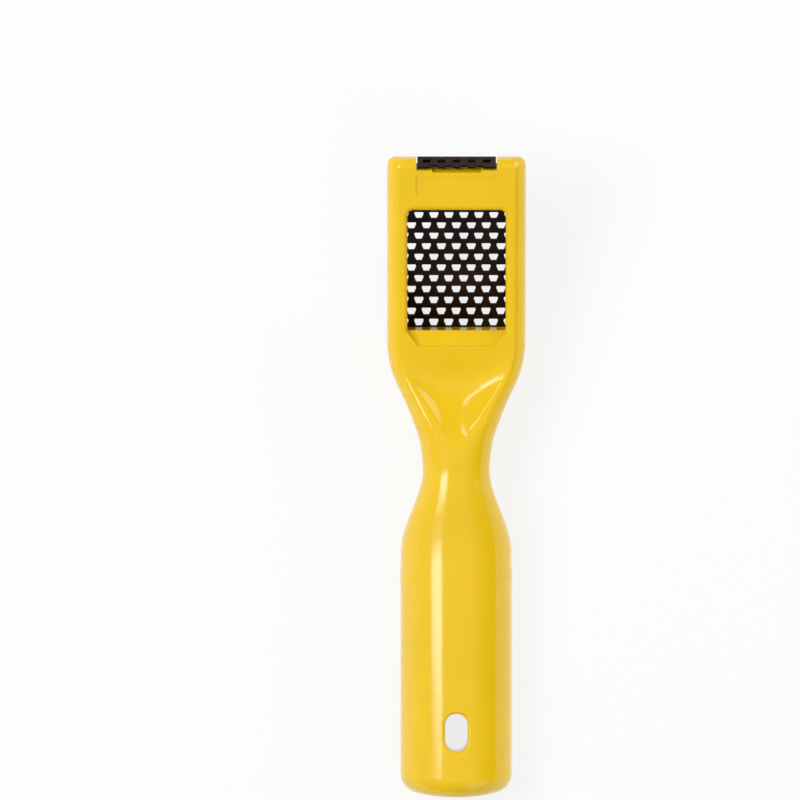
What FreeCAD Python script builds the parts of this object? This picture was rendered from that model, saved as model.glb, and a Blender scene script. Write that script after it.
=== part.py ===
import FreeCAD, Part
import math
import os
import re
import Sketcher

# One-hand rasp plane: a moulded head, neck and handle in one piece, and the toothed blade under the head.
# +Y is towards the nose, +X across and +Z up. The plane rests on its heel and its handle, with its nose
# raised, and the origin is on that surface, under the middle of the plane.

# Every size is in millimetres, and every angle in degrees.
SIZES = {
    # overall
    "overall_length": 184.0,
    "head_tilt": 15.0,
    # head
    "head_length": 51.0,
    "head_width": 39.8,
    "head_height": 22.7,
    "rim_radius": 7.2,
    "rim_angle": 56.0,
    "crest_radius": 1.0,
    "head_crest_radius": 0.8,
    "head_under_radius": 2.0,
    "nose_radius": 2.6,
    "nose_facing": 0.05,
    "heel_setback": 4.0,
    "heel_radius": 5.0,
    "sole_radius": 218.0,
    "sole_angle": 7.5,
    # window and well
    "window_length": 36.0,
    "window_width": 28.2,
    "window_corner_radius": 1.8,
    "window_edge_radius": 1.6,
    "bevel_run": 3.9,
    "bevel_drop": 3.0,
    "bevel_narrowing": 6.0,
    "bevel_rise": 0.7,
    "roof_thickness": 3.4,
    "well_width": 33.0,
    "nose_wall": 4.6,
    # bare panel on the front web
    "panel_length": 5.4,
    "panel_width": 23.4,
    "panel_depth": 0.3,
    # dished thumb ramp and neck
    "dish_angle": 0.2,
    "neck_place": 40.0,
    "neck_width": 19.3,
    "neck_height": 22.9,
    "neck_rise": 5.2,
    "neck_under_radius": 7.6,
    # handle
    "handle_place": 72.0,
    "handle_width": 32.1,
    "handle_height": 21.5,
    "handle_under_radius": 5.3,
    "round_angle": 45.0,
    "crown_angle": 38.8,
    "handle_end_crown_radius": 60.0,
    "handle_end_radius": 5.4,
    "slot_length": 11.0,
    "slot_width": 6.5,
    "slot_end_distance": 18.7,
    "slot_edge_radius": 0.8,
    # blade sheet
    "blade_thickness": 0.7,
    "blade_width": 38.0,
    "blade_seat_clearance": 0.15,
    "blade_front_setback": 2.4,
    "tongue_width": 22.5,
    "tongue_top_gap": 0.2,
    "tongue_hole_width": 2.2,
    "tongue_hole_height": 1.5,
    "notch_clearance": 0.3,
    "notch_relief_width": 14.0,
    "notch_relief_depth": 0.6,
    # hook that hangs the blade in the heel
    "hook_width": 28.0,
    "hook_height": 3.2,
    "hook_distance": 2.0,
    "bead_radius": 1.1,
    "hook_clearance": 0.3,
    "hook_bar": 1.6,
    "tail_relief": 0.4,
    "blade_swing": 20.0,
    # teeth
    "tooth_height": 0.75,
    "tooth_lip_width": 2.4,
    "tooth_tip_width": 0.9,
    "tooth_length": 2.3,
    "tooth_root_width": 1.3,
    "tooth_root_height": 0.1,
    "hole_width": 2.7,
    "hole_length": 2.3,
    "hole_end_width": 1.5,
    "tooth_pitch": 4.3,
    "row_pitch": 3.5,
    "first_row_distance": 5.2,
    # how far a cut runs past what it cuts
    "overrun": 5.0,
}

TOOTH_COLUMNS = 8
TOOTH_ROWS = 15
TONGUE_COLUMNS = 5

doc = FreeCAD.newDocument("RaspPlane")
dims = doc.addObject("Spreadsheet::Sheet", "Dims")
for row, (alias, size) in enumerate(SIZES.items(), start=1):
    dims.set(f"A{row}", alias)
    dims.set(f"B{row}", str(size))
    dims.setAlias(f"B{row}", alias)
doc.recompute()


def bound(formula):
    """Write a formula in size names as an expression on the sheet."""
    return re.sub(r"[a-z_]+", lambda word: f"Dims.{word[0]}" if word[0] in SIZES else word[0], formula)


def value(formula):
    """Work a formula in size names out as a number."""
    return float(dims.evalExpression(bound(formula)))


# Side view of the head, in its own frame: the top plane is level, and the window's rear edge is zero.
# FOOT is the heel's lowest point, HEEL the centre of its arc, and SOLE the centre of the sole's arc.
FOOT_Y = "(-heel_setback * cos(head_tilt) - head_height * sin(head_tilt))"
FOOT_Z = "(heel_setback * sin(head_tilt) - head_height * cos(head_tilt))"
HEEL_Y = f"({FOOT_Y} + heel_radius * sin(head_tilt))"
HEEL_Z = f"({FOOT_Z} + heel_radius * cos(head_tilt))"
SOLE_Y = f"({HEEL_Y} - (sole_radius - heel_radius) * sin(sole_angle))"
SOLE_Z = f"({HEEL_Z} + (sole_radius - heel_radius) * cos(sole_angle))"
NOSE_ANGLE = f"(asin((head_length - {SOLE_Y}) / sole_radius) / 1deg)"
NOSE_Z = f"({SOLE_Z} - sqrt(sole_radius ^ 2 - (head_length - {SOLE_Y}) ^ 2))"
RAW_NOSE_Z = f"({SOLE_Z} - sqrt(sole_radius ^ 2 - (head_length + nose_facing - {SOLE_Y}) ^ 2))"
NOSE_REACH = f"(head_length * cos(head_tilt) - {NOSE_Z} * sin(head_tilt))"
HOOK_ANGLE = "(sole_angle + hook_distance / sole_radius * 180 / pi)"
HANDLE_REACH = f"(overall_length - {NOSE_REACH})"
PIVOT_Y = f"(overall_length / 2 - {NOSE_REACH})"
HOOK_Y = f"({SOLE_Y} + (sole_radius - hook_height) * sin({HOOK_ANGLE}))"
HOOK_Z = f"({SOLE_Z} - (sole_radius - hook_height) * cos({HOOK_ANGLE}))"
BED_END = f"({NOSE_ANGLE} - (blade_front_setback - notch_clearance) / sole_radius * 180 / pi)"
TONGUE_BACK = f"(head_length + {NOSE_Z} * tan({NOSE_ANGLE}) - blade_thickness / cos({NOSE_ANGLE}))"


def on_sole(radius, angle):
    """Give the head-frame place at a radius and an angle about the sole's centre."""
    return f"{SOLE_Y} + ({radius}) * sin({angle})", f"{SOLE_Z} - ({radius}) * cos({angle})"


def angle_of(length):
    """Turn a length along the sole into an angle about its centre."""
    return f"(({length}) / sole_radius * 180 / pi)"


def origin_feature(body, role):
    """Find one of a body's own origin planes or axes."""
    return next(item for item in body.Origin.OriginFeatures if item.Role == role)


def new_body(label):
    body = doc.addObject("PartDesign::Body", label)
    body.Label = label
    return body


def place(thing, path, y, z, turn):
    """Shift a placement by y and z, and turn it about the X axis, all by formulas."""
    thing.Placement = FreeCAD.Placement(FreeCAD.Vector(), FreeCAD.Rotation(FreeCAD.Vector(1, 0, 0), 1))
    thing.setExpression(f"{path}.Base.y", bound(y))
    thing.setExpression(f"{path}.Base.z", bound(z))
    thing.setExpression(f"{path}.Rotation.Angle", bound(turn))


def new_sketch(body, name, role, across="0", up="0", out="0", turn="0", axis=(1, 0, 0)):
    """Attach a sketch to an origin plane, shifted in its own directions and turned about an axis."""
    sketch = body.newObject("Sketcher::SketchObject", name)
    sketch.AttachmentSupport = [(origin_feature(body, role), "")]
    sketch.MapMode = "FlatFace"
    shift = FreeCAD.Vector(value(across), value(up), value(out))
    rotation = FreeCAD.Rotation(FreeCAD.Vector(*axis), value(turn))
    sketch.AttachmentOffset = FreeCAD.Placement(shift, rotation)
    for letter, formula in zip("xyz", (across, up, out)):
        if formula != "0":
            sketch.setExpression(f"AttachmentOffset.Base.{letter}", bound(formula))
    if turn != "0":
        sketch.setExpression("AttachmentOffset.Rotation.Angle", bound(turn))
    return sketch


def pin(sketch, edge, end, across, up):
    """Hold one end of an edge at a place given by formulas."""
    for kind, formula in (("DistanceX", across), ("DistanceY", up)):
        index = sketch.addConstraint(Sketcher.Constraint(kind, edge, end, value(formula)))
        sketch.setExpression(f"Constraints[{index}]", bound(formula))


def arc_between(start, end, radius):
    """Make the shorter arc from start to end: its centre is on the left for a positive radius."""
    chord = end - start
    left = FreeCAD.Vector(-chord.y, chord.x, 0).normalize()
    rise = math.sqrt(max(radius ** 2 - chord.Length ** 2 / 4, 0))
    centre = (start + end) / 2 + left * math.copysign(rise, radius)
    middle = centre - left * radius
    return Part.Arc(start, middle, end)


def outline(sketch, corners):
    """Close an outline of corners (across, up) or (across, up, radius): a radius bends the next edge."""
    points = [FreeCAD.Vector(value(corner[0]), value(corner[1]), 0) for corner in corners]
    first = sketch.GeometryCount
    starts = []
    for index, corner in enumerate(corners):
        start, end = points[index], points[(index + 1) % len(points)]
        if len(corner) == 2:
            sketch.addGeometry(Part.LineSegment(start, end))
            starts.append((1, 2))
            continue
        radius = value(corner[2])
        sketch.addGeometry(arc_between(start, end, radius))
        starts.append((1, 2) if radius > 0 else (2, 1))
    for index, corner in enumerate(corners):
        edge, before = first + index, (index - 1) % len(corners)
        ends = (edge, starts[index][0], first + before, starts[before][1])
        sketch.addConstraint(Sketcher.Constraint("Coincident", *ends))
        pin(sketch, edge, starts[index][0], corner[0], corner[1])
        if len(corner) == 3:
            radius = Sketcher.Constraint("Radius", edge, abs(value(corner[2])))
            index = sketch.addConstraint(radius)
            sketch.setExpression(f"Constraints[{index}]", bound(f"abs({corner[2]})"))


def rectangle(sketch, left, right, low, high):
    outline(sketch, [(left, low), (right, low), (right, high), (left, high)])


def extrude(body, kind, name, sketch, length, symmetric=False, backwards=False):
    """Pad or pocket a sketch by a formula's length."""
    feature = body.newObject(f"PartDesign::{kind}", name)
    feature.Profile = sketch
    feature.setExpression("Length", bound(length))
    feature.Length = value(length)
    feature.SideType = "Symmetric" if symmetric else "One side"
    feature.Reversed = backwards
    doc.recompute()
    return feature


def fillet(body, name, feature, radius, wanted):
    """Round the edges of a feature that a test picks."""
    doc.recompute()
    edges = [f"Edge{i}" for i, edge in enumerate(feature.Shape.Edges, start=1) if wanted(edge)]
    if not edges:
        raise RuntimeError(f"{name} finds no edge")
    rounding = body.newObject("PartDesign::Fillet", name)
    rounding.Base = (feature, edges)
    rounding.setExpression("Radius", bound(radius))
    rounding.Radius = value(radius)
    doc.recompute()
    return rounding


# Cross sections of the moulding, square to its length. Half of one is, from below: a flat underside, a
# corner, an upright side, a rim arc, a tighter crest arc, and a middle arc that dishes or crowns the top.
def section_corners(half_width, height, rim_radius, rim_angle, crest_radius, top_slope, under, under_radius):
    """Corners of a section. The top slope is where the middle arc starts: negative for a crowned top."""
    rim_x = f"({half_width} - {rim_radius})"
    crest_x = f"({rim_x} + ({rim_radius} - {crest_radius}) * cos({rim_angle}))"
    crest_z = f"({height} - {crest_radius})"
    side_top = f"({crest_z} - ({rim_radius} - {crest_radius}) * sin({rim_angle}))"
    rim_end = f"({rim_x} + {rim_radius} * cos({rim_angle}))"
    rim_top = f"({side_top} + {rim_radius} * sin({rim_angle}))"
    middle_end = f"({crest_x} - {crest_radius} * sin({top_slope}))"
    middle_top = f"({crest_z} + {crest_radius} * cos({top_slope}))"
    middle_radius = f"(-{middle_end} / sin({top_slope}))"
    foot = f"({half_width} - {under_radius})"
    ankle = f"({under} + {under_radius})"
    return [
        (f"-{foot}", under),
        (foot, under, under_radius),
        (half_width, ankle),
        (half_width, side_top, rim_radius),
        (rim_end, rim_top, crest_radius),
        (middle_end, middle_top, middle_radius),
        (f"-{middle_end}", middle_top, crest_radius),
        (f"-{rim_end}", rim_top, rim_radius),
        (f"-{half_width}", side_top),
        (f"-{half_width}", ankle, under_radius),
    ]


def blend_size(start, end, share):
    return f"({start} + ({end} - {start}) * {share})"


def level_sketch(body, name, back):
    """A sketch across the plane, a level distance behind the window's rear edge."""
    low_z = f"-(head_height * cos(head_tilt)) + ({back}) * sin(head_tilt)"
    low_y = f"-(head_height * sin(head_tilt)) - ({back}) * cos(head_tilt)"
    return new_sketch(body, name, "XZ_Plane", up=low_z, out=f"-({low_y})", turn="-head_tilt")


HEAD_TOP = "(head_height - heel_setback * tan(head_tilt))"
HEAD = ("(head_width / 2)", HEAD_TOP, "rim_radius", "rim_angle", "crest_radius", "dish_angle",
        "0", "head_under_radius")
NECK = ("(neck_width / 2)", "neck_height", "(neck_width / 2)", "round_angle", "(neck_width / 2)",
        "(-crown_angle)", "neck_rise", "neck_under_radius")
HANDLE = ("(handle_width / 2)", "handle_height", "(handle_width / 2)", "round_angle", "(handle_width / 2)",
          "(-crown_angle)", "0", "handle_under_radius")

# Each station gives its place between the head and the neck, then how far each size of the section
# goes from the neck's to the head's, in the order of section_corners.
RAMP_SHARES = [
    (0.000, (1.000, 1.00, 1.00, 1.00, 1.000, 1.000, 1.000, 1.00)),
    (0.083, (0.961, 1.55, 1.00, 0.91, 0.988, 1.051, 0.900, 0.95)),
    (0.194, (0.873, 1.83, 0.96, 0.82, 0.942, 1.292, 0.750, 0.86)),
    (0.306, (0.713, 1.58, 0.88, 0.64, 0.873, 1.585, 0.580, 0.75)),
    (0.444, (0.483, 0.95, 0.71, 0.45, 0.769, 1.738, 0.365, 0.58)),
    (0.583, (0.288, 0.37, 0.51, 0.27, 0.630, 1.610, 0.190, 0.40)),
    (0.750, (0.093, -0.01, 0.27, 0.09, 0.364, 1.149, 0.040, 0.20)),
    (0.889, (0.020, -0.08, 0.06, 0.00, 0.121, 0.431, 0.000, 0.06)),
]
# The same between the neck and the handle: place, width, height, rise of the underside and its radius.
BELLY_SHARES = [
    (0.000, 0.000, 0.00, 0.00, 0.00),
    (0.125, 0.100, 0.05, 0.08, 0.10),
    (0.250, 0.310, 0.20, 0.28, 0.31),
    (0.375, 0.560, 0.42, 0.55, 0.58),
    (0.500, 0.790, 0.68, 0.80, 0.80),
    (0.625, 0.945, 0.88, 0.95, 0.95),
    (0.750, 0.990, 0.98, 1.00, 0.99),
    (0.875, 1.000, 1.00, 1.00, 1.00),
    (1.000, 1.000, 1.00, 1.00, 1.00),
]


def station(body, name, back, sizes):
    """One section of the ramp, neck, belly or grip."""
    sketch = level_sketch(body, name, back)
    outline(sketch, section_corners(*sizes))
    return sketch


def make_head(body):
    """The wedge-shaped head: a sheared prism, cut to the side view of heel, sole and nose, then rounded."""
    sketch = level_sketch(body, "head_section", "heel_setback")
    half, height, radius, angle, crest_radius, _, _, under_radius = HEAD
    drop = f"({crest_radius} + ({radius} - {crest_radius}) * sin({angle}))"
    crest = f"({half} - {radius} + sqrt({radius} ^ 2 - {drop} ^ 2))"
    side_top = f"({height} - {drop})"
    foot = f"({half} - {under_radius})"
    outline(sketch, [
        (f"-{foot}", "0"), (foot, "0", under_radius), (half, under_radius), (half, side_top, radius),
        (crest, height), (f"-{crest}", height, radius), (f"-{half}", side_top),
        (f"-{half}", under_radius, under_radius),
    ])
    block = body.newObject("PartDesign::Pad", "head_block")
    block.Profile = sketch
    block.UseCustomVector = True
    block.Direction = FreeCAD.Vector(0, 1, 0)
    block.AlongSketchNormal = False
    long = "head_length + head_height * sin(head_tilt) + heel_setback + overrun"
    block.setExpression("Length", bound(long))
    doc.recompute()
    side_cut = new_sketch(body, "side_view", "YZ_Plane")
    below = "-(head_height + head_length)"
    beyond = "head_length * 2"
    raw_front = "(head_length + nose_facing)"
    tangent = on_sole("sole_radius", "sole_angle")
    outline(side_cut, [
        (FOOT_Y, FOOT_Z, "heel_radius"), (*tangent, "sole_radius"),
        (raw_front, RAW_NOSE_Z), (raw_front, "overrun"), (beyond, "overrun"),
        (beyond, below), (FOOT_Y, below),
    ])
    cut = extrude(body, "Pocket", "head_side_cut", side_cut, "head_width * 2", symmetric=True)
    nose = fillet(body, "nose_rounding", cut, "nose_radius", is_nose_edge)
    fillet(body, "crest_rounding", nose, "head_crest_radius", is_crest)
    facing = new_sketch(body, "nose_face_plan", "XY_Plane", out="overrun")
    rectangle(facing, "-head_width", "head_width", "head_length", beyond)
    return extrude(body, "Pocket", "nose_face", facing, "head_height * 2")


def loft(body, name, sections, kind="AdditiveLoft", ruled=False):
    """Run a skin through the sections."""
    feature = body.newObject(f"PartDesign::{kind}", name)
    feature.Profile = sections[0]
    feature.Sections = sections[1:]
    feature.Ruled = ruled
    doc.recompute()
    return feature


def make_shank(body):
    """The flare behind the window with its thumb dish, the neck and the belly as one skin, then the grip."""
    sections = []
    for number, (place_share, shares) in enumerate(RAMP_SHARES):
        back = blend_size("heel_setback", "neck_place", place_share)
        sizes = [blend_size(neck, head, share) for neck, head, share in zip(NECK, HEAD, shares)]
        sections.append(station(body, f"ramp_{number}", back, sizes))
    for number, (place_share, width, height, rise, corner) in enumerate(BELLY_SHARES):
        back = blend_size("neck_place", "handle_place", place_share)
        shares = (width, height, width, 0, width, 0, rise, corner)
        sizes = [blend_size(neck, grip, share) for neck, grip, share in zip(NECK, HANDLE, shares)]
        sections.append(station(body, f"belly_{number}", back, sizes))
    loft(body, "ramp_neck_and_belly", sections)
    grip = station(body, "grip", "handle_place", HANDLE)
    return extrude(body, "Pad", "handle_grip", grip, f"{HANDLE_REACH} - handle_place")


def level_back(point):
    """How far a point of the moulding lies behind the window's rear edge, measured level."""
    tilt = math.radians(value("head_tilt"))
    return point.z * math.sin(tilt) - point.y * math.cos(tilt)


def plan_sketch(body, name, height):
    """A level sketch at a height above the resting surface."""
    rise = f"({height} - head_height)"
    return new_sketch(body, name, "XY_Plane", up=f"{rise} * sin(head_tilt)",
                      out=f"{rise} * cos(head_tilt)", turn="-head_tilt")


def finish_handle(body):
    """The handle's bowed and rounded end, and its hanging slot."""
    above = "handle_height + overrun"
    plan = plan_sketch(body, "handle_end_plan", above)
    half, end = "handle_width / 2", f"-{HANDLE_REACH}"
    bow = "(handle_end_crown_radius - sqrt(handle_end_crown_radius ^ 2 - handle_width ^ 2 / 4))"
    outline(plan, [
        (f"-{half}", f"{end} + {bow}", "handle_end_crown_radius"), (half, f"{end} + {bow}"),
        (f"{half} + overrun", f"{end} + {bow}"), (f"{half} + overrun", f"{end} - overrun * 2"),
        (f"-{half} - overrun", f"{end} - overrun * 2"), (f"-{half} - overrun", f"{end} + {bow}"),
    ])
    bowed = extrude(body, "Pocket", "handle_end_bow", plan, f"{above} + overrun")
    limit = value(f"{HANDLE_REACH} - handle_width / 4")
    rounded = fillet(body, "handle_end_rounding", bowed, "handle_end_radius", lambda edge: all(
        level_back(vertex.Point) > limit for vertex in edge.Vertexes))
    slot = plan_sketch(body, "slot_plan", above)
    centre = f"-({HANDLE_REACH} - slot_end_distance)"
    radius, straight = "slot_width / 2", "(slot_length - slot_width) / 2"
    outline(slot, [
        (radius, f"{centre} + {straight}", radius), ("0", f"{centre} + slot_length / 2", radius),
        (f"-{radius}", f"{centre} + {straight}"),
        (f"-{radius}", f"{centre} - {straight}", radius), ("0", f"{centre} - slot_length / 2", radius),
        (radius, f"{centre} - {straight}"),
    ])
    cut = extrude(body, "Pocket", "hanging_slot", slot, f"{above} + overrun")
    middle = value(f"{HANDLE_REACH} - slot_end_distance")
    reach = value("slot_length / 2 + slot_edge_radius / 2")
    return fillet(body, "slot_easing", cut, "slot_edge_radius", lambda edge: is_slot_rim(
        edge, middle, reach))


def is_slot_rim(edge, middle, reach):
    """An edge round the hanging slot's mouth, above or below, and not down its wall."""
    points = [vertex.Point for vertex in edge.Vertexes] + [edge.CenterOfMass]
    if any(abs(level_back(point) - middle) > reach for point in points):
        return False
    if any(abs(point.x) > value("slot_width / 2 + slot_edge_radius / 2") for point in points):
        return False
    tilt = math.radians(value("head_tilt"))
    heights = [point.y * math.sin(tilt) + point.z * math.cos(tilt) for point in points]
    return max(heights) - min(heights) < value("handle_height / 2")


def open_head(body):
    """The open well down to the blade, the eased window over it and the bare panel ahead of it."""
    well = new_sketch(body, "well_side_view", "YZ_Plane")
    front, below = "head_length - nose_wall", "-head_height * 2"
    bar = "bead_radius + hook_clearance + hook_bar"
    outline(well, [
        (front, "-roof_thickness"), ("0", "-roof_thickness"),
        (f"{HOOK_Y} + {bar}", f"{HOOK_Z} + {bar}"), (f"{HOOK_Y} + {bar}", below), (front, below),
    ])
    extrude(body, "Pocket", "well", well, "well_width", symmetric=True)
    window = new_sketch(body, "window_plan", "XY_Plane", out="overrun")
    rectangle(window, "-window_width / 2", "window_width / 2", "0", "window_length")
    opening = extrude(body, "Pocket", "window", window, "overrun + roof_thickness * 2")
    corners = fillet(body, "window_corners", opening, "window_corner_radius", is_window_corner)
    fillet(body, "window_easing", corners, "window_edge_radius", is_window_edge)
    panel = new_sketch(body, "panel_plan", "XY_Plane", out="overrun")
    middle = "(window_length + head_length) / 2"
    rectangle(panel, "-panel_width / 2", "panel_width / 2",
              f"{middle} - panel_length / 2", f"{middle} + panel_length / 2")
    return extrude(body, "Pocket", "panel", panel, "overrun + panel_depth")


def cut_bevel(body):
    """The mitred bevel that drops from the thumb ramp into the window."""
    mouth = new_sketch(body, "bevel_front", "XZ_Plane")
    rectangle(mouth, "-window_width / 2", "window_width / 2", "-bevel_drop", "overrun")
    crease = new_sketch(body, "bevel_back", "XZ_Plane", out="bevel_run")
    half = "(window_width - bevel_narrowing) / 2"
    rectangle(crease, f"-{half}", half, "-bevel_rise", "overrun")
    return loft(body, "bevel", [mouth, crease], kind="SubtractiveLoft", ruled=True)


def is_window_corner(edge):
    """An upright edge at a front corner of the window."""
    low, high = edge.BoundBox.ZMin, edge.BoundBox.ZMax
    upright = high - low > value("roof_thickness / 2") and edge.BoundBox.XLength < value("hook_clearance")
    across = abs(abs(edge.CenterOfMass.x) - value("window_width / 2"))
    along = abs(edge.CenterOfMass.y - value("window_length"))
    return upright and max(across, along) < value("hook_clearance")


def is_window_edge(edge):
    """An upper edge of the window, at its front or at its straight sides."""
    slack, ends = value("hook_clearance"), [vertex.Point for vertex in edge.Vertexes]
    level = all(abs(end.z) < slack for end in ends)
    ahead = edge.CenterOfMass.y > value("window_length / 4")
    inside = all(end.y < value("window_length") + slack for end in ends)
    within = all(abs(end.x) < value("window_width / 2") + slack for end in ends)
    return level and ahead and inside and within


def cut_blade_seat(body):
    """The notch for the blade's tongue, the bed under the head and the groove for its hook."""
    lean = f"(({NOSE_Z} - ({HOOK_Z})) / (head_length - ({HOOK_Y})))"
    for name, extra, width in (
        ("notch", "0", "tongue_width + notch_clearance * 2"),
        ("notch_relief", "notch_relief_depth", "notch_relief_width"),
    ):
        sketch = new_sketch(body, f"{name}_side_view", "YZ_Plane")
        back = f"({TONGUE_BACK} - notch_clearance - {extra})"
        low = f"({back} - {NOSE_Z} * {lean})"
        outline(sketch, [
            (back, "0"), (low, NOSE_Z), (low, f"{NOSE_Z} - overrun"),
            ("head_length * 2", f"{NOSE_Z} - overrun"), ("head_length * 2", "overrun"), (back, "overrun"),
        ])
        extrude(body, "Pocket", name, sketch, width, symmetric=True)
    sweep = "hook_height * sin(blade_swing) + blade_thickness / 2 + hook_clearance"
    first = f"({HOOK_ANGLE} - {angle_of(sweep)})"
    for name, clearance, last, width in (
        ("bed", "blade_seat_clearance", BED_END, "head_width * 2"),
        ("tongue_bed", "blade_seat_clearance", f"({NOSE_ANGLE} + {angle_of('overrun')})",
         "tongue_width + notch_clearance * 2"),
        ("tail_bed", "tail_relief", HOOK_ANGLE, "head_width * 2"),
    ):
        bed = new_sketch(body, f"{name}_side_view", "YZ_Plane")
        inner, outer = f"(sole_radius - blade_thickness - {clearance})", "(sole_radius + overrun)"
        outline(bed, [
            (*on_sole(inner, first), inner), on_sole(inner, last),
            (*on_sole(outer, last), f"-{outer}"), on_sole(outer, first),
        ])
        extrude(body, "Pocket", name, bed, width, symmetric=True)
    groove = new_sketch(body, "groove_side_view", "YZ_Plane")
    circle(groove, HOOK_Y, HOOK_Z, "bead_radius + hook_clearance")
    width = "hook_width + hook_clearance * 2"
    extrude(body, "Pocket", "hook_groove", groove, width, symmetric=True)
    slot = new_sketch(body, "hook_slot_side_view", "YZ_Plane")
    gap, deep = "(blade_thickness / 2 + hook_clearance)", "(hook_height + overrun)"
    swung = f"({HOOK_ANGLE} - blade_swing)"
    front = (f"{HOOK_Y} + {gap} * cos({HOOK_ANGLE})", f"{HOOK_Z} + {gap} * sin({HOOK_ANGLE})")
    rear = (f"{HOOK_Y} - {gap} * cos({swung})", f"{HOOK_Z} - {gap} * sin({swung})")
    outline(slot, [
        front, rear,
        (f"{rear[0]} + {deep} * sin({swung})", f"{rear[1]} - {deep} * cos({swung})"),
        (f"{front[0]} + {deep} * sin({HOOK_ANGLE})", f"{front[1]} - {deep} * cos({HOOK_ANGLE})"),
    ])
    return extrude(body, "Pocket", "hook_slot", slot, width, symmetric=True)


def make_moulding():
    body = new_body("body_moulding")
    make_head(body)
    make_shank(body)
    finish_handle(body)
    open_head(body)
    cut_bevel(body)
    cut_blade_seat(body)
    place(body, "Placement", PIVOT_Y, "head_height", "head_tilt")
    return body


def is_nose_edge(edge):
    """An edge round the nose's front face, apart from its lower one."""
    front = value("head_length + nose_facing")
    if any(abs(vertex.Point.y - front) > value("hook_clearance") for vertex in edge.Vertexes):
        return False
    return max(vertex.Point.z for vertex in edge.Vertexes) > value(NOSE_Z + " + hook_clearance")


def is_crest(edge):
    """The long edge along each side of the head's top."""
    points = [vertex.Point for vertex in edge.Vertexes] + [edge.CenterOfMass]
    level = all(abs(point.z) < value("hook_clearance") for point in points)
    out = all(abs(point.x) > value("head_width / 2 - rim_radius") for point in points)
    return level and out and edge.Length > value("head_length / 2")


def make_blade():
    """The rasp blade: a hooked and tongued sheet with raised teeth, each ahead of its own hole."""
    blank = make_blade_blank()
    tooth = make_tooth()
    hole = make_hole()
    places = tooth_places()
    blade = doc.addObject("Part::Feature", "rasp_blade")
    blade.Label = "rasp_blade"
    raised = blank.Shape.fuse([tooth.Shape.transformed(place) for place in places])
    blade.Shape = raised.cut([hole.Shape.transformed(place) for place in places])
    back = f"{SOLE_Y} * cos(head_tilt) - {SOLE_Z} * sin(head_tilt)"
    rise = f"{SOLE_Y} * sin(head_tilt) + {SOLE_Z} * cos(head_tilt)"
    place(blade, "Placement", f"{PIVOT_Y} + {back}", f"head_height + {rise}", f"head_tilt + {HOOK_ANGLE}")
    return blade


def make_blade_blank():
    """The sheet before piercing. Its frame has the sole's centre as its origin, the hook straight below."""
    body = new_body("blade_blank")
    span = f"({NOSE_ANGLE} - {HOOK_ANGLE})"
    inner = "(sole_radius - blade_thickness)"
    rear = f"-{angle_of('blade_thickness / 2')}"
    short = f"({span} - {angle_of('blade_front_setback')})"
    for name, front, width in (("sheet", short, "blade_width"), ("tongue_root", span, "tongue_width")):
        sheet = new_sketch(body, f"{name}_side_view", "YZ_Plane")
        outline(sheet, [
            (*on_sheet("sole_radius", rear), "sole_radius"), on_sheet("sole_radius", front),
            (*on_sheet(inner, front), f"-{inner}"), on_sheet(inner, rear),
        ])
        extrude(body, "Pad", name, sheet, width, symmetric=True)
    hook = new_sketch(body, "hook_side_view", "YZ_Plane")
    rectangle(hook, "-blade_thickness / 2", "blade_thickness / 2",
              "-sole_radius + blade_thickness / 2", "-sole_radius + hook_height")
    extrude(body, "Pad", "hook", hook, "hook_width", symmetric=True)
    bead = new_sketch(body, "bead_side_view", "YZ_Plane")
    circle(bead, "0", "-sole_radius + hook_height", "bead_radius")
    extrude(body, "Pad", "bead", bead, "hook_width", symmetric=True)
    tongue = new_sketch(body, "tongue_side_view", "YZ_Plane", turn=span, axis=(0, 0, 1))
    height = f"(-{NOSE_Z} - tongue_top_gap) / cos({NOSE_ANGLE})"
    rectangle(tongue, "-blade_thickness", "0", "-sole_radius", f"-sole_radius + {height}")
    extrude(body, "Pad", "tongue", tongue, "tongue_width", symmetric=True)
    pierce_tongue(body, span, height)
    return body


def pierce_tongue(body, span, height):
    """Two staggered rows of holes in the tongue. Its top edge is sheared through the upper row."""
    for row, low in enumerate(("blade_thickness * 2", f"({height}) - tongue_hole_height / 2")):
        columns = TONGUE_COLUMNS - row
        foot = f"-sole_radius + {low}"
        for column in range(columns):
            middle = f"tooth_pitch * {column - (columns - 1) / 2}"
            hole = new_sketch(body, f"tongue_hole_{row}_{column}", "XZ_Plane", turn=span)
            rectangle(hole, f"{middle} - tongue_hole_width / 2", f"{middle} + tongue_hole_width / 2",
                      foot, f"{foot} + tongue_hole_height")
            name = f"tongue_piercing_{row}_{column}"
            extrude(body, "Pocket", name, hole, "blade_thickness * 4", symmetric=True)


def on_sheet(radius, angle):
    """Give the blade-frame place at a radius and an angle ahead of the hook."""
    return f"{radius} * sin({angle})", f"-({radius}) * cos({angle})"


def make_tooth():
    """One tooth on the sheet's outer face: its cutting lip is over the hook, its root ahead of it."""
    body = new_body("tooth")
    lip = tooth_section(body, "lip", "0", "tooth_lip_width", "tooth_tip_width", "tooth_height")
    root = tooth_section(body, "root", angle_of("tooth_length"), "tooth_root_width",
                         "tooth_root_width / 2", "tooth_root_height")
    loft(body, "tooth_form", [lip, root], ruled=True)
    return body


def tooth_section(body, name, angle, base, tip, height):
    """A tapered slice across a tooth, rooted in the sheet."""
    sketch = new_sketch(body, name, "XZ_Plane", turn=angle)
    foot, top = "-sole_radius + blade_thickness / 2", f"-sole_radius - {height}"
    outline(sketch, [
        (f"-{base} / 2", foot), (f"-({tip}) / 2", top), (f"({tip}) / 2", top), (f"{base} / 2", foot),
    ])
    return sketch


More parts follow.
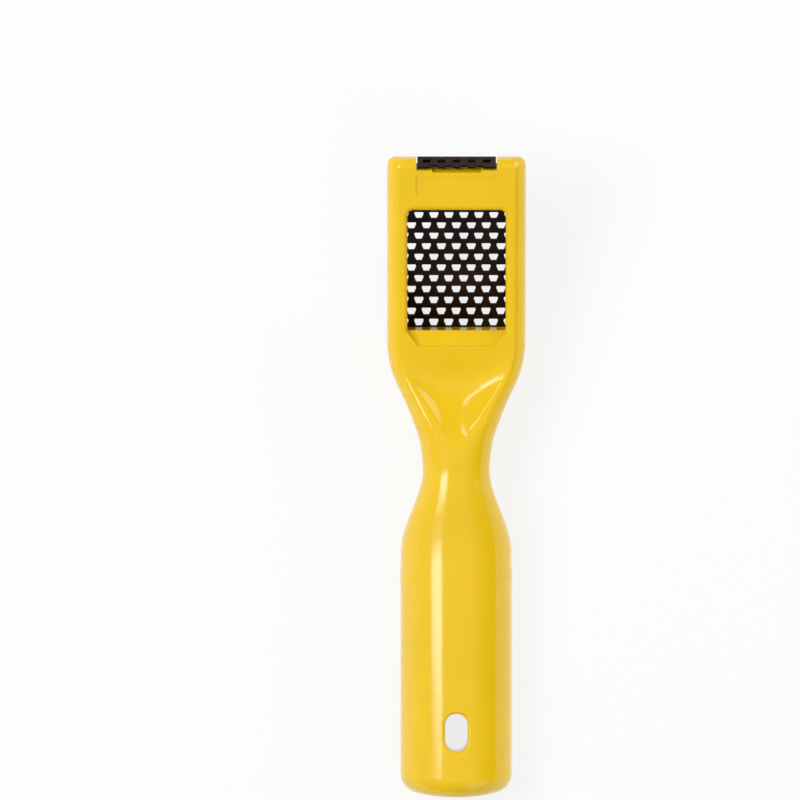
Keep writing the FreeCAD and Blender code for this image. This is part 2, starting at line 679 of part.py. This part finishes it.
def make_hole():
    """The cutter for the hole behind one tooth's lip."""
    body = new_body("hole")
    plan = new_sketch(body, "hole_plan", "XY_Plane", out="-sole_radius + blade_thickness * 2")
    outline(plan, [
        ("tooth_lip_width / 2", "0"), ("-tooth_lip_width / 2", "0"),
        ("-hole_width / 2", "-hole_length / 3"), ("-hole_end_width / 2", "-hole_length"),
        ("hole_end_width / 2", "-hole_length"), ("hole_width / 2", "-hole_length / 3"),
    ])
    extrude(body, "Pad", "hole_form", plan, "blade_thickness * 3", backwards=True)
    return body


def tooth_places():
    """Where each tooth goes: rows round the sole's centre, every second row shifted by half a pitch."""
    places = []
    for row in range(TOOTH_ROWS):
        columns = TOOTH_COLUMNS - row % 2
        turn = value(angle_of(f"first_row_distance + row_pitch * {row}"))
        rotation = FreeCAD.Rotation(FreeCAD.Vector(1, 0, 0), turn)
        for column in range(columns):
            across = value(f"tooth_pitch * {column - (columns - 1) / 2}")
            places.append(FreeCAD.Placement(FreeCAD.Vector(across, 0, 0), rotation).toMatrix())
    return places


def circle(sketch, across, up, radius):
    """Add a circle whose centre and radius are held by formulas."""
    centre = FreeCAD.Vector(value(across), value(up), 0)
    edge = sketch.addGeometry(Part.Circle(centre, FreeCAD.Vector(0, 0, 1), value(radius)))
    pin(sketch, edge, 3, across, up)
    index = sketch.addConstraint(Sketcher.Constraint("Radius", edge, value(radius)))
    sketch.setExpression(f"Constraints[{index}]", bound(radius))


def check(bodies):
    """Stop if anything in the document failed or a piece isn't one valid solid."""
    doc.recompute()
    for thing in doc.Objects:
        if "Invalid" in thing.State or "Error" in thing.State:
            raise RuntimeError(f"{thing.Name} failed")
    for body in bodies:
        if body.Shape.isNull() or not body.Shape.isValid() or len(body.Shape.Solids) != 1:
            raise RuntimeError(f"{body.Label} isn't one valid solid")


def main():
    bodies = [make_moulding(), make_blade()]
    check(bodies)
    os.makedirs("parts", exist_ok=True)
    for body in bodies:
        body.Shape.exportStep(f"parts/{body.Label}.step")
        print(body.Label, round(body.Shape.Volume), body.Shape.BoundBox)


main()
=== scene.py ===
import bpy
from bpy.props import FloatProperty, FloatVectorProperty, PointerProperty
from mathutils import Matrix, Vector


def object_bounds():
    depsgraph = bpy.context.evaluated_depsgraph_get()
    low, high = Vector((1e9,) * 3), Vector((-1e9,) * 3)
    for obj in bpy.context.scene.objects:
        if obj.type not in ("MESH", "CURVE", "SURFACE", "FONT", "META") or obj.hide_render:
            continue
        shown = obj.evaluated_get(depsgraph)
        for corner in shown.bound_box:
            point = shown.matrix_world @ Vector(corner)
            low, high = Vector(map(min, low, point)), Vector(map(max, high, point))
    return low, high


bl_info = {
    "name": "Rasp plane looks",
    "version": (1, 0, 0),
    "blender": (4, 5, 0),
    "location": "3D View > Sidebar > Rasp Plane",
    "description": "Finishes of a one-hand rasp plane, and the studio that it is shown in",
    "category": "3D View",
}

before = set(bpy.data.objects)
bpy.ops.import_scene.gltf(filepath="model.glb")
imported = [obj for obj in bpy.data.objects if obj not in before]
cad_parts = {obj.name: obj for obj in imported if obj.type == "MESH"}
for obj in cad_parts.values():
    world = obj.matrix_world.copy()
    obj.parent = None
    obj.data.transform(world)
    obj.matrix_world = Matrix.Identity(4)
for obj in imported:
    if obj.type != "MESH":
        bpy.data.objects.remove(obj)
CAD_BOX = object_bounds()

# The arc that the blade's outer face follows, seen from the side: its centre (y, z) and its radius.
SOLE_CENTRE = (-0.04398, 0.20179)
SOLE_RADIUS = 0.218
TOOTH_HEIGHT = 0.00075
# The shares of a tooth's height at which the bright ground tip starts and is fully bright.
TIP_START = 0.7
TIP_FULL = 0.9
# What each finish's plain colour is multiplied by, where its clouds darken or tint it.
DEEP_SHADE = 0.94
VIOLET_SHADE = 0.75
BROWN_SHADE = (1.9, 1.35, 1.15)
# The Mix node's colour sockets share their names with its others, so they are picked by number.
MIX_FACTOR, MIX_FIRST, MIX_SECOND, MIX_RESULT = 0, 6, 7, 2

FLOOR_SIZE = 6.0
FLOOR_CLEARANCE = 0.00001
# Each lamp's name, place, level and upright size, and the property that holds its power.
LAMPS = (
    ("softbox", (-0.68, 0.13, 0.82), (0.46, 0.42), "softbox_power"),
    ("accent", (-0.42, 0.47, 0.84), (0.50, 0.11), "accent_power"),
    ("fill", (0.82, 0.50, 0.32), (1.00, 0.56), "fill_power"),
    ("rear_fill", (0.70, -0.75, 0.50), (0.90, 0.80), "rear_power"),
)
LAMP_TARGET = (0.0, 0.0, 0.015)
# How bright the ceiling is from behind the handle, 0, past overhead, 0.5, to ahead of the nose, 1.
CEILING_PANELS = (
    (0.05, 0.25), (0.25, 0.65), (0.45, 1.00), (0.60, 1.00), (0.72, 0.45), (0.95, 0.40),
)
# The camera looks straight down at this place, and the view's width is measured at this height.
VIEW_CENTRE = (-0.0162, 0.0223)
VIEW_HEIGHT = 0.018
SENSOR_WIDTH = 36.0


class PlasticLook(bpy.types.PropertyGroup):
    """Looks of the moulded handle and head."""
    colour: FloatVectorProperty(
        name="Colour", description="Colour of the moulded plastic", subtype="COLOR",
        size=3, min=0.0, max=1.0, default=(0.880, 0.575, 0.004))
    roughness: FloatProperty(
        name="Roughness", description="How matt the moulded skin is", subtype="FACTOR",
        min=0.0, max=0.9, default=0.12)
    rubbing: FloatProperty(
        name="Rubbing", description="How much more matt the rubbed spots are", subtype="FACTOR",
        min=0.0, max=0.1, default=0.06)
    orange_peel: FloatProperty(
        name="Orange peel", description="Height of the skin's long waves", subtype="DISTANCE",
        unit="LENGTH", min=0.0, max=0.001, default=0.0002)


class BladeLook(bpy.types.PropertyGroup):
    """Looks of the blade's dark heat-treated steel."""
    dark: FloatVectorProperty(
        name="Dark steel", description="Colour of the heat-treated sheet", subtype="COLOR",
        size=3, min=0.0, max=1.0, default=(0.036, 0.031, 0.033))
    bright: FloatVectorProperty(
        name="Ground edge", description="Colour of the ground tooth tips", subtype="COLOR",
        size=3, min=0.0, max=1.0, default=(0.62, 0.60, 0.58))
    edge_shine: FloatVectorProperty(
        name="Edge shine", description="How much the sheet shines where it is seen edge on",
        subtype="COLOR", size=3, min=0.0, max=1.0, default=(0.55, 0.53, 0.54))


class StudioLook(bpy.types.PropertyGroup):
    """The floor, the lamps and the camera."""
    floor_tone: FloatProperty(
        name="Floor", description="How pale the floor is", subtype="FACTOR",
        min=0.0, max=1.0, default=0.86)
    paper_white: FloatProperty(
        name="Paper white", description="How much of the floor's shadow is washed out",
        subtype="FACTOR", min=0.0, max=1.0, default=0.82)
    softbox_power: FloatProperty(
        name="Softbox", description="Power of the large lamp on the left", subtype="POWER",
        unit="POWER", min=0.0, max=200.0, default=5.2)
    accent_power: FloatProperty(
        name="Accent", description="Power of the lamp beyond the nose, on the left",
        subtype="POWER", unit="POWER", min=0.0, max=200.0, default=1.3)
    fill_power: FloatProperty(
        name="Fill", description="Power of the low lamp on the right", subtype="POWER",
        unit="POWER", min=0.0, max=200.0, default=4.4)
    rear_power: FloatProperty(
        name="Rear fill", description="Power of the lamp behind the handle, on the right",
        subtype="POWER", unit="POWER", min=0.0, max=200.0, default=2.3)
    dome_level: FloatProperty(
        name="Ceiling", description="Brightness of the studio overhead", subtype="FACTOR",
        min=0.0, max=2.0, default=0.72)
    horizon_level: FloatProperty(
        name="Horizon", description="Brightness of the studio at eye level", subtype="FACTOR",
        min=0.0, max=2.0, default=0.7)
    camera_height: FloatProperty(
        name="Camera height", description="Height of the camera over the floor", subtype="DISTANCE",
        unit="LENGTH", min=0.5, max=10.0, default=3.0)
    view_width: FloatProperty(
        name="View width", description="Width of what the camera shows", subtype="DISTANCE",
        unit="LENGTH", min=0.05, max=2.0, default=0.230)


class RaspPlaneLooks(bpy.types.PropertyGroup):
    """Everything that can be changed."""
    plastic: PointerProperty(type=PlasticLook)
    blade: PointerProperty(type=BladeLook)
    studio: PointerProperty(type=StudioLook)


def new_material(name):
    """A new node material: its tree and its shader."""
    material = bpy.data.materials.new(name)
    material.use_nodes = True
    tree = material.node_tree
    return material, tree, tree.nodes["Principled BSDF"]


def add_node(tree, kind, place, settings=None, **inputs):
    """Add a node and set its properties and its inputs."""
    node = tree.nodes.new(kind)
    node.location = place
    for name, setting in (settings or {}).items():
        setattr(node, name, setting)
    for name, value in inputs.items():
        node.inputs[name.replace("_", " ")].default_value = value
    return node


def grey(level):
    """A grey colour of a given brightness."""
    return level, level, level, 1.0


def moulded_plastic(look):
    """Glossy pigmented plastic, with the skin's faint long waves and fine rubbing marks."""
    material, tree, shader = new_material("moulded_yellow")
    links = tree.links
    where = add_node(tree, "ShaderNodeTexCoord", (-1300, 0))
    tint = add_node(tree, "ShaderNodeTexNoise", (-900, 250), Scale=38.0, Detail=3.0, Roughness=0.6)
    links.new(where.outputs["Object"], tint.inputs["Vector"])
    shades = add_node(tree, "ShaderNodeValToRGB", (-620, 250))
    colour = Vector(look.colour)
    deep, plain = shades.color_ramp.elements
    deep.position = 0.3
    deep.color = (*(colour * DEEP_SHADE), 1.0)
    plain.position = 0.7
    plain.color = (*colour, 1.0)
    links.new(tint.outputs["Fac"], shades.inputs["Fac"])
    links.new(shades.outputs["Color"], shader.inputs["Base Color"])
    rubs = add_node(tree, "ShaderNodeTexNoise", (-900, -80), Scale=420.0, Detail=6.0, Roughness=0.7)
    links.new(where.outputs["Object"], rubs.inputs["Vector"])
    gloss = add_node(tree, "ShaderNodeMapRange", (-620, -80), From_Min=0.35, From_Max=0.75,
                     To_Min=look.roughness, To_Max=look.roughness + look.rubbing)
    links.new(rubs.outputs["Fac"], gloss.inputs["Value"])
    links.new(gloss.outputs["Result"], shader.inputs["Roughness"])
    waves = add_node(tree, "ShaderNodeTexNoise", (-900, -380), Scale=260.0, Detail=2.0)
    links.new(where.outputs["Object"], waves.inputs["Vector"])
    peel = add_node(tree, "ShaderNodeBump", (-320, -380), Strength=0.12, Distance=look.orange_peel)
    links.new(waves.outputs["Fac"], peel.inputs["Height"])
    links.new(peel.outputs["Normal"], shader.inputs["Normal"])
    shader.inputs["IOR"].default_value = 1.5
    # Light goes a little way into the plastic, and its red goes the furthest.
    shader.inputs["Subsurface Weight"].default_value = 0.2
    shader.inputs["Subsurface Radius"].default_value = (0.003, 0.0012, 0.0002)
    shader.inputs["Subsurface Scale"].default_value = 1.0
    return material


def blued_steel(look):
    """Dark heat-treated steel with brown and violet clouds, bright at the ground tooth tips."""
    material, tree, shader = new_material("blued_steel")
    links = tree.links
    where = add_node(tree, "ShaderNodeTexCoord", (-1500, 0))
    clouds = add_node(tree, "ShaderNodeTexNoise", (-1100, 300),
                      Scale=85.0, Detail=4.0, Roughness=0.6)
    links.new(where.outputs["Object"], clouds.inputs["Vector"])
    tempers = add_node(tree, "ShaderNodeValToRGB", (-820, 300))
    dark = Vector(look.dark)
    violet, brown = tempers.color_ramp.elements
    violet.position = 0.32
    violet.color = (*(dark * VIOLET_SHADE), 1.0)
    brown.position = 0.72
    brown.color = (*(dark * Vector(BROWN_SHADE)), 1.0)
    links.new(clouds.outputs["Fac"], tempers.inputs["Fac"])
    shader.inputs["Metallic"].default_value = 1.0
    shader.inputs["Specular Tint"].default_value = (*look.edge_shine, 1.0)
    grain = add_node(tree, "ShaderNodeTexNoise", (-1100, -100),
                     Scale=900.0, Detail=5.0, Roughness=0.7)
    links.new(where.outputs["Object"], grain.inputs["Vector"])
    matt = add_node(tree, "ShaderNodeMapRange", (-820, -100), To_Min=0.26, To_Max=0.5)
    links.new(grain.outputs["Fac"], matt.inputs["Value"])
    links.new(matt.outputs["Result"], shader.inputs["Roughness"])
    ground = ground_tips(tree, where)
    steel = add_node(tree, "ShaderNodeMix", (-420, 300), {"data_type": "RGBA"})
    links.new(ground.outputs["Result"], steel.inputs[MIX_FACTOR])
    links.new(tempers.outputs["Color"], steel.inputs[MIX_FIRST])
    steel.inputs[MIX_SECOND].default_value = (*look.bright, 1.0)
    links.new(steel.outputs[MIX_RESULT], shader.inputs["Base Color"])
    return material


def ground_tips(tree, where):
    """A mask that is 1 on the tips of the teeth: they stand out from the curved sole."""
    links = tree.links
    flat = add_node(tree, "ShaderNodeVectorMath", (-1300, -420), {"operation": "MULTIPLY"})
    links.new(where.outputs["Object"], flat.inputs[0])
    flat.inputs[1].default_value = (0.0, 1.0, 1.0)
    from_axis = add_node(tree, "ShaderNodeVectorMath", (-1100, -420), {"operation": "DISTANCE"})
    links.new(flat.outputs["Vector"], from_axis.inputs[0])
    from_axis.inputs[1].default_value = (0.0, *SOLE_CENTRE)
    tips = add_node(tree, "ShaderNodeMapRange", (-820, -420),
                    From_Min=SOLE_RADIUS + TOOTH_HEIGHT * TIP_START,
                    From_Max=SOLE_RADIUS + TOOTH_HEIGHT * TIP_FULL)
    links.new(from_axis.outputs["Value"], tips.inputs["Value"])
    return tips


def pale_floor(look):
    """Matt paper that looks nearly white, also mirrored or through glass, and keeps some shadow."""
    material, tree, shader = new_material("pale_floor")
    links = tree.links
    shader.inputs["Base Color"].default_value = grey(look.floor_tone)
    shader.inputs["Roughness"].default_value = 0.9
    paths = add_node(tree, "ShaderNodeLightPath", (-920, 300))
    indirect = add_node(tree, "ShaderNodeMath", (-700, 200), {"operation": "MAXIMUM"})
    links.new(paths.outputs["Is Glossy Ray"], indirect.inputs[0])
    links.new(paths.outputs["Is Transmission Ray"], indirect.inputs[1])
    seen = add_node(tree, "ShaderNodeMath", (-480, 300), {"operation": "MAXIMUM"})
    links.new(paths.outputs["Is Camera Ray"], seen.inputs[0])
    links.new(indirect.outputs["Value"], seen.inputs[1])
    share = add_node(tree, "ShaderNodeMath", (-260, 300), {"operation": "MULTIPLY"})
    links.new(seen.outputs["Value"], share.inputs[0])
    share.inputs[1].default_value = look.paper_white
    paper = add_node(tree, "ShaderNodeEmission", (0, -360), Strength=1.0)
    mix = add_node(tree, "ShaderNodeMixShader", (320, 100))
    links.new(share.outputs["Value"], mix.inputs["Fac"])
    links.new(shader.outputs["BSDF"], mix.inputs[1])
    links.new(paper.outputs["Emission"], mix.inputs[2])
    links.new(mix.outputs["Shader"], tree.nodes["Material Output"].inputs["Surface"])
    return material


def studio_dome(look):
    """Surroundings that are bright overhead and darker behind, past the nose and on the right."""
    world = bpy.data.worlds.new("studio")
    world.use_nodes = True
    tree = world.node_tree
    links = tree.links
    where = add_node(tree, "ShaderNodeTexCoord", (-900, 0))
    split = add_node(tree, "ShaderNodeSeparateXYZ", (-700, 0))
    links.new(where.outputs["Generated"], split.inputs["Vector"])
    smooth = {"interpolation_type": "SMOOTHSTEP"}
    height = add_node(tree, "ShaderNodeMapRange", (-500, 100), smooth, From_Min=0.05, From_Max=0.40,
                      To_Min=look.horizon_level, To_Max=look.dome_level)
    links.new(split.outputs["Z"], height.inputs["Value"])
    along = add_node(tree, "ShaderNodeMapRange", (-700, -200), From_Min=-1.0, From_Max=1.0)
    links.new(split.outputs["Y"], along.inputs["Value"])
    panels = add_node(tree, "ShaderNodeValToRGB", (-500, -200))
    stops = panels.color_ramp.elements
    for place, level in CEILING_PANELS:
        stops.new(place).color = grey(level)
    # The ramp's own two stops, at its ends, go.
    stops.remove(stops[-1])
    stops.remove(stops[0])
    links.new(along.outputs["Result"], panels.inputs["Fac"])
    right_wall = add_node(tree, "ShaderNodeMapRange", (-500, -460), smooth,
                          From_Min=0.45, From_Max=0.95, To_Min=1.0, To_Max=0.15)
    links.new(split.outputs["X"], right_wall.inputs["Value"])
    ceiling = add_node(tree, "ShaderNodeMath", (-220, 0), {"operation": "MULTIPLY"})
    links.new(height.outputs["Result"], ceiling.inputs[0])
    links.new(panels.outputs["Color"], ceiling.inputs[1])
    walls = add_node(tree, "ShaderNodeMath", (-60, 0), {"operation": "MULTIPLY"})
    links.new(ceiling.outputs["Value"], walls.inputs[0])
    links.new(right_wall.outputs["Result"], walls.inputs[1])
    background = tree.nodes["Background"]
    background.inputs["Color"].default_value = grey(1.0)
    links.new(walls.outputs["Value"], background.inputs["Strength"])
    return world


def place_in_scene(name, data, place):
    """Add a lamp or a camera to the scene."""
    holder = bpy.data.objects.new(name, data)
    bpy.context.scene.collection.objects.link(holder)
    holder.location = place
    return holder


def area_lamp(name, place, size, power):
    """Add a rectangular lamp that faces the plane. Its sizes are the level and the upright one."""
    lamp = bpy.data.lights.new(name, "AREA")
    lamp.shape = "RECTANGLE"
    lamp.size, lamp.size_y = size
    lamp.energy = power
    holder = place_in_scene(name, lamp, place)
    facing = Vector(LAMP_TARGET) - holder.location
    holder.rotation_euler = facing.to_track_quat("-Z", "Y").to_euler()


def camera_above(look):
    """Add the camera: it looks straight down, as in the photograph."""
    camera = bpy.data.cameras.new("camera")
    camera.lens = SENSOR_WIDTH * (look.camera_height - VIEW_HEIGHT) / look.view_width
    camera.sensor_width = SENSOR_WIDTH
    camera.clip_end = 20.0
    return place_in_scene("camera", camera, (*VIEW_CENTRE, look.camera_height))


def dress(node, material):
    """Give a CAD node its finish."""
    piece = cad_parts[node]
    piece.data.materials.clear()
    piece.data.materials.append(material)


class RASPPLANE_OT_studio(bpy.types.Operator):
    """Set out the floor, the lamps, the surroundings and the camera"""
    bl_idname = "raspplane.studio"
    bl_label = "Studio"

    def execute(self, context):
        look = context.scene.rasp_plane.studio
        scene = context.scene
        below = CAD_BOX[0][2] - FLOOR_CLEARANCE
        bpy.ops.mesh.primitive_plane_add(size=FLOOR_SIZE, location=(0, 0, below))
        floor = context.active_object
        floor.name = "floor"
        floor.data.materials.append(pale_floor(look))
        for name, place, size, power in LAMPS:
            area_lamp(name, place, size, getattr(look, power))
        scene.world = studio_dome(look)
        scene.camera = camera_above(look)
        scene.view_settings.view_transform = "Standard"
        return {"FINISHED"}


class RASPPLANE_OT_moulding(bpy.types.Operator):
    """Finish the moulded head, neck and handle"""
    bl_idname = "raspplane.moulding"
    bl_label = "Moulding"

    def execute(self, context):
        dress("body_moulding", moulded_plastic(context.scene.rasp_plane.plastic))
        return {"FINISHED"}


class RASPPLANE_OT_blade(bpy.types.Operator):
    """Finish the rasp blade"""
    bl_idname = "raspplane.blade"
    bl_label = "Blade"

    def execute(self, context):
        dress("rasp_blade", blued_steel(context.scene.rasp_plane.blade))
        return {"FINISHED"}


class RASPPLANE_PT_pieces(bpy.types.Panel):
    """Lists the steps that dress the rasp plane, and what can be changed"""
    bl_idname = "RASPPLANE_PT_pieces"
    bl_label = "Rasp Plane"
    bl_space_type = "VIEW_3D"
    bl_region_type = "UI"
    bl_category = "Rasp Plane"

    def draw(self, context):
        looks = context.scene.rasp_plane
        column = self.layout.column()
        for step in STEPS:
            column.operator(step.bl_idname)
        for group in (looks.plastic, looks.blade, looks.studio):
            for name in group.__annotations__:
                column.prop(group, name)


STEPS = (RASPPLANE_OT_studio, RASPPLANE_OT_moulding, RASPPLANE_OT_blade)
CLASSES = (PlasticLook, BladeLook, StudioLook, RaspPlaneLooks, *STEPS, RASPPLANE_PT_pieces)


def register():
    """Register the classes, and give the scene its settings."""
    for kind in CLASSES:
        bpy.utils.register_class(kind)
    bpy.types.Scene.rasp_plane = PointerProperty(type=RaspPlaneLooks)


def unregister():
    """Take the settings and the classes away again."""
    del bpy.types.Scene.rasp_plane
    for kind in reversed(CLASSES):
        bpy.utils.unregister_class(kind)


def main():
    """Set out the studio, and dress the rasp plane."""
    register()
    bpy.ops.raspplane.studio()
    bpy.ops.raspplane.moulding()
    bpy.ops.raspplane.blade()


if __name__ == "__main__":
    main()
